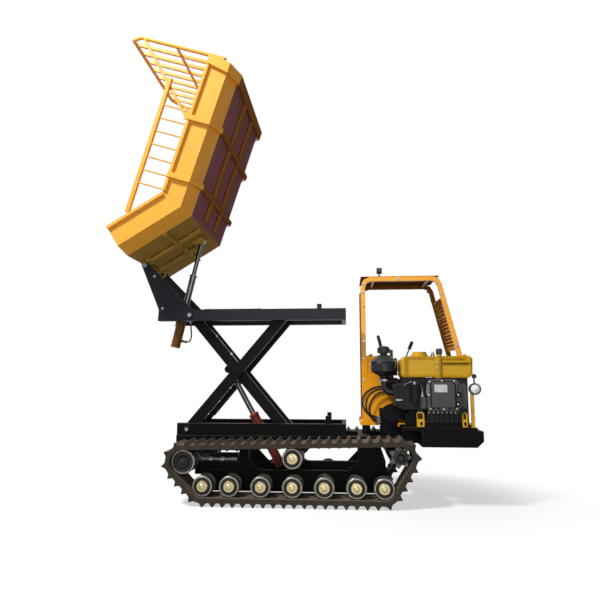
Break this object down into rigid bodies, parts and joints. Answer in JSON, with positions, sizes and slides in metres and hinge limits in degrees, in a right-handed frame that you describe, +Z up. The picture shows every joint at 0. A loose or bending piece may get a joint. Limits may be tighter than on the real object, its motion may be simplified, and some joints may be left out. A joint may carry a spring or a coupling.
{
  "type": "tracked power carrier",
  "caption": "Rubber-tracked power carrier with scissor lift, tipping load body with rails and guard, open canopy and single-cylinder diesel engine.",
  "frame": {"origin": "on the ground, under the middle of the bounding box", "axes": "+X towards the engine end, +Y to the driver side, +Z up"},
  "size_m": [3.3942, 1.572, 4.4993],
  "materials": {
    "frame_paint": "satin blue-black paint",
    "black_paint": "satin black paint",
    "track_rubber": "moulded black rubber, dusty",
    "wheel_paint": "dark paint with worn rims",
    "bare_steel": "machined",
    "rod_chrome": "hard chrome",
    "body_paint": "gloss yellow-orange paint",
    "tank_paint": "gloss yellow paint",
    "engine_iron": "painted cast iron",
    "cylinder_paint": "brown-red paint",
    "black_plastic": "moulded",
    "seat_vinyl": "grained seat cover",
    "hose_rubber": "braided oil hose"
  },
  "bodies": {
    "carrier": {"lower_frame": "frame_paint", "chassis_frame": "black_paint", "track_belt_near": "track_rubber", "track_belt_far": "track_rubber", "engine_base": "black_paint", "engine_block": "engine_iron", "gear_cover": "engine_iron", "fuel_tank": "tank_paint", "radiator_hood": "tank_paint", "air_cleaner": "black_plastic", "fuel_filter": "black_plastic", "transmission": "frame_paint", "belt_guard": "frame_paint", "canopy_frame": "body_paint", "roof_sheet": "body_paint", "front_grille": "body_paint", "cab_floor": "tank_paint", "seat_cushion": "seat_vinyl", "seat_back": "seat_vinyl", "control_console": "black_paint", "hydraulic_tank": "black_paint", "oil_hoses": "hose_rubber", "headlamp": "black_plastic", "roof_lamp": "black_plastic"},
    "load_body": {"body_shell": "body_paint", "body_ribs": "body_paint", "body_rails": "body_paint"},
    "sprocket_near": {"sprocket_near": "bare_steel"},
    "sprocket_far": {"sprocket_far": "bare_steel"},
    "idler_near": {"idler_near": "wheel_paint"},
    "idler_far": {"idler_far": "wheel_paint"},
    "carrier_near": {"carrier_near": "wheel_paint"},
    "carrier_far": {"carrier_far": "wheel_paint"},
    "road_wheel_n1": {"road_wheel_n1": "wheel_paint"},
    "road_wheel_n2": {"road_wheel_n2": "wheel_paint"},
    "road_wheel_n3": {"road_wheel_n3": "wheel_paint"},
    "road_wheel_n4": {"road_wheel_n4": "wheel_paint"},
    "road_wheel_n5": {"road_wheel_n5": "wheel_paint"},
    "road_wheel_n6": {"road_wheel_n6": "wheel_paint"},
    "road_wheel_n7": {"road_wheel_n7": "wheel_paint"},
    "road_wheel_f1": {"road_wheel_f1": "wheel_paint"},
    "road_wheel_f2": {"road_wheel_f2": "wheel_paint"},
    "road_wheel_f3": {"road_wheel_f3": "wheel_paint"},
    "road_wheel_f4": {"road_wheel_f4": "wheel_paint"},
    "road_wheel_f5": {"road_wheel_f5": "wheel_paint"},
    "road_wheel_f6": {"road_wheel_f6": "wheel_paint"},
    "road_wheel_f7": {"road_wheel_f7": "wheel_paint"},
    "flywheel": {"flywheel": "bare_steel"},
    "steer_lever": {"steer_lever": "bare_steel"},
    "lift_lever": {"lift_lever": "bare_steel"},
    "outer_arms": {"outer_arms": "frame_paint"},
    "inner_arms": {"inner_arms": "frame_paint"},
    "lower_rollers": {"lower_rollers": "bare_steel"},
    "upper_rollers": {"upper_rollers": "bare_steel"},
    "upper_frame": {"upper_frame": "frame_paint"},
    "lift_barrel": {"lift_barrel": "cylinder_paint"},
    "lift_rod": {"lift_rod": "rod_chrome"},
    "tip_barrel": {"tip_barrel": "cylinder_paint"},
    "tip_stage": {"tip_stage": "rod_chrome"},
    "tip_rod": {"tip_rod": "rod_chrome"}
  },
  "joints": [
    {"name": "lift", "type": "hinge", "parent": "carrier", "child": "outer_arms", "pos_m": [-1.01585, 0, 0.639], "axis": [0, -1, 0], "range_deg": [-42.2, 0]},
    {"name": "scissor_cross", "type": "hinge", "parent": "outer_arms", "child": "inner_arms", "pos_m": [-0.54985, 0, 1.189], "axis": [0, -1, 0], "range_deg": [0, 84.41]},
    {"name": "scissor_top", "type": "hinge", "parent": "inner_arms", "child": "upper_frame", "pos_m": [-1.01585, 0, 1.739], "axis": [0, -1, 0], "range_deg": [-42.21, 0]},
    {"name": "lift_barrel_swing", "type": "hinge", "parent": "carrier", "child": "lift_barrel", "pos_m": [-0.34685, 0, 0.639], "axis": [0, -1, 0], "range_deg": [-21.11, 0]},
    {"name": "lift_rod_swing", "type": "hinge", "parent": "outer_arms", "child": "lift_rod", "pos_m": [-0.66955, 0, 1.2114], "axis": [0, -1, 0], "range_deg": [0, 21.11]},
    {"name": "lower_slide_roll", "type": "hinge", "parent": "inner_arms", "child": "lower_rollers", "pos_m": [-0.08385, 0, 0.639], "axis": [0, 1, 0], "continuous": true},
    {"name": "upper_slide_roll", "type": "hinge", "parent": "outer_arms", "child": "upper_rollers", "pos_m": [-0.08385, 0, 1.739], "axis": [0, 1, 0], "continuous": true},
    {"name": "tip", "type": "hinge", "parent": "upper_frame", "child": "load_body", "pos_m": [-1.48885, 0, 2.249], "axis": [0, -1, 0], "range_deg": [-72.5, 0]},
    {"name": "tip_barrel_swing", "type": "hinge", "parent": "upper_frame", "child": "tip_barrel", "pos_m": [-1.17055, 0, 1.75698], "axis": [0, -1, 0], "range_deg": [-36.26, 0]},
    {"name": "tip_rod_swing", "type": "hinge", "parent": "load_body", "child": "tip_rod", "pos_m": [-0.98761, 0, 2.55256], "axis": [0, -1, 0], "range_deg": [0, 36.26]},
    {"name": "tip_stage_slide", "type": "slide", "parent": "tip_barrel", "child": "tip_stage", "axis": [0.2241, 0, 0.9746], "range_m": [-0.3302, 0]},
    {"name": "drive_near", "type": "hinge", "parent": "carrier", "child": "sprocket_near", "pos_m": [0.98315, -0.475, 0.4316], "axis": [0, 1, 0], "continuous": true},
    {"name": "idler_near_roll", "type": "hinge", "parent": "carrier", "child": "idler_near", "pos_m": [-0.96185, -0.475, 0.3776], "axis": [0, 1, 0], "continuous": true},
    {"name": "carrier_near_roll", "type": "hinge", "parent": "carrier", "child": "carrier_near", "pos_m": [0.02815, -0.475, 0.41552], "axis": [0, 1, 0], "continuous": true},
    {"name": "road_wheel_n1_roll", "type": "hinge", "parent": "carrier", "child": "road_wheel_n1", "pos_m": [-0.77985, -0.475, 0.1676], "axis": [0, 1, 0], "continuous": true},
    {"name": "road_wheel_n2_roll", "type": "hinge", "parent": "carrier", "child": "road_wheel_n2", "pos_m": [-0.53785, -0.475, 0.1676], "axis": [0, 1, 0], "continuous": true},
    {"name": "road_wheel_n3_roll", "type": "hinge", "parent": "carrier", "child": "road_wheel_n3", "pos_m": [-0.25485, -0.475, 0.1676], "axis": [0, 1, 0], "continuous": true},
    {"name": "road_wheel_n4_roll", "type": "hinge", "parent": "carrier", "child": "road_wheel_n4", "pos_m": [0.02815, -0.475, 0.1676], "axis": [0, 1, 0], "continuous": true},
    {"name": "road_wheel_n5_roll", "type": "hinge", "parent": "carrier", "child": "road_wheel_n5", "pos_m": [0.31115, -0.475, 0.1676], "axis": [0, 1, 0], "continuous": true},
    {"name": "road_wheel_n6_roll", "type": "hinge", "parent": "carrier", "child": "road_wheel_n6", "pos_m": [0.59415, -0.475, 0.1676], "axis": [0, 1, 0], "continuous": true},
    {"name": "road_wheel_n7_roll", "type": "hinge", "parent": "carrier", "child": "road_wheel_n7", "pos_m": [0.83615, -0.475, 0.1676], "axis": [0, 1, 0], "continuous": true},
    {"name": "drive_far", "type": "hinge", "parent": "carrier", "child": "sprocket_far", "pos_m": [0.98315, 0.475, 0.4316], "axis": [0, 1, 0], "continuous": true},
    {"name": "idler_far_roll", "type": "hinge", "parent": "carrier", "child": "idler_far", "pos_m": [-0.96185, 0.475, 0.3776], "axis": [0, 1, 0], "continuous": true},
    {"name": "carrier_far_roll", "type": "hinge", "parent": "carrier", "child": "carrier_far", "pos_m": [0.02815, 0.475, 0.41552], "axis": [0, 1, 0], "continuous": true},
    {"name": "road_wheel_f1_roll", "type": "hinge", "parent": "carrier", "child": "road_wheel_f1", "pos_m": [-0.77985, 0.475, 0.1676], "axis": [0, 1, 0], "continuous": true},
    {"name": "road_wheel_f2_roll", "type": "hinge", "parent": "carrier", "child": "road_wheel_f2", "pos_m": [-0.53785, 0.475, 0.1676], "axis": [0, 1, 0], "continuous": true},
    {"name": "road_wheel_f3_roll", "type": "hinge", "parent": "carrier", "child": "road_wheel_f3", "pos_m": [-0.25485, 0.475, 0.1676], "axis": [0, 1, 0], "continuous": true},
    {"name": "road_wheel_f4_roll", "type": "hinge", "parent": "carrier", "child": "road_wheel_f4", "pos_m": [0.02815, 0.475, 0.1676], "axis": [0, 1, 0], "continuous": true},
    {"name": "road_wheel_f5_roll", "type": "hinge", "parent": "carrier", "child": "road_wheel_f5", "pos_m": [0.31115, 0.475, 0.1676], "axis": [0, 1, 0], "continuous": true},
    {"name": "road_wheel_f6_roll", "type": "hinge", "parent": "carrier", "child": "road_wheel_f6", "pos_m": [0.59415, 0.475, 0.1676], "axis": [0, 1, 0], "continuous": true},
    {"name": "road_wheel_f7_roll", "type": "hinge", "parent": "carrier", "child": "road_wheel_f7", "pos_m": [0.83615, 0.475, 0.1676], "axis": [0, 1, 0], "continuous": true},
    {"name": "crank", "type": "hinge", "parent": "carrier", "child": "flywheel", "pos_m": [1.37315, -0.2, 0.908], "axis": [0, 1, 0], "continuous": true},
    {"name": "lift_lever_tilt", "type": "hinge", "parent": "carrier", "child": "lift_lever", "pos_m": [0.93315, -0.108, 1.118], "axis": [0, 1, 0], "range_deg": [-18, 18], "stiffness_Nm_per_rad": 8},
    {"name": "steer_lever_tilt", "type": "hinge", "parent": "carrier", "child": "steer_lever", "pos_m": [1.09015, 0.24, 1.23], "axis": [0, 1, 0], "range_deg": [-18, 18]}
  ],
  "couplings": [
    {"joint": "scissor_cross", "follows": "lift", "ratio": -2},
    {"joint": "scissor_top", "follows": "lift", "ratio": 1},
    {"joint": "lift_barrel_swing", "follows": "lift", "ratio": 0.5},
    {"joint": "lift_rod_swing", "follows": "lift", "ratio": -0.5},
    {"joint": "tip_barrel_swing", "follows": "tip", "ratio": 0.5},
    {"joint": "tip_rod_swing", "follows": "tip", "ratio": -0.5},
    {"joint": "tip_stage_slide", "follows": "tip", "m_per_rad": 0.26079},
    {"joint": "idler_near_roll", "follows": "drive_near", "ratio": 0.92481},
    {"joint": "carrier_near_roll", "follows": "drive_near", "ratio": 1.1007},
    {"joint": "road_wheel_n1_roll", "follows": "drive_near", "ratio": 1.1007},
    {"joint": "road_wheel_n2_roll", "follows": "drive_near", "ratio": 1.1007},
    {"joint": "road_wheel_n3_roll", "follows": "drive_near", "ratio": 1.1007},
    {"joint": "road_wheel_n4_roll", "follows": "drive_near", "ratio": 1.1007},
    {"joint": "road_wheel_n5_roll", "follows": "drive_near", "ratio": 1.1007},
    {"joint": "road_wheel_n6_roll", "follows": "drive_near", "ratio": 1.1007},
    {"joint": "road_wheel_n7_roll", "follows": "drive_near", "ratio": 1.1007},
    {"joint": "idler_far_roll", "follows": "drive_far", "ratio": 0.92481},
    {"joint": "carrier_far_roll", "follows": "drive_far", "ratio": 1.1007},
    {"joint": "road_wheel_f1_roll", "follows": "drive_far", "ratio": 1.1007},
    {"joint": "road_wheel_f2_roll", "follows": "drive_far", "ratio": 1.1007},
    {"joint": "road_wheel_f3_roll", "follows": "drive_far", "ratio": 1.1007},
    {"joint": "road_wheel_f4_roll", "follows": "drive_far", "ratio": 1.1007},
    {"joint": "road_wheel_f5_roll", "follows": "drive_far", "ratio": 1.1007},
    {"joint": "road_wheel_f6_roll", "follows": "drive_far", "ratio": 1.1007},
    {"joint": "road_wheel_f7_roll", "follows": "drive_far", "ratio": 1.1007}
  ]
}
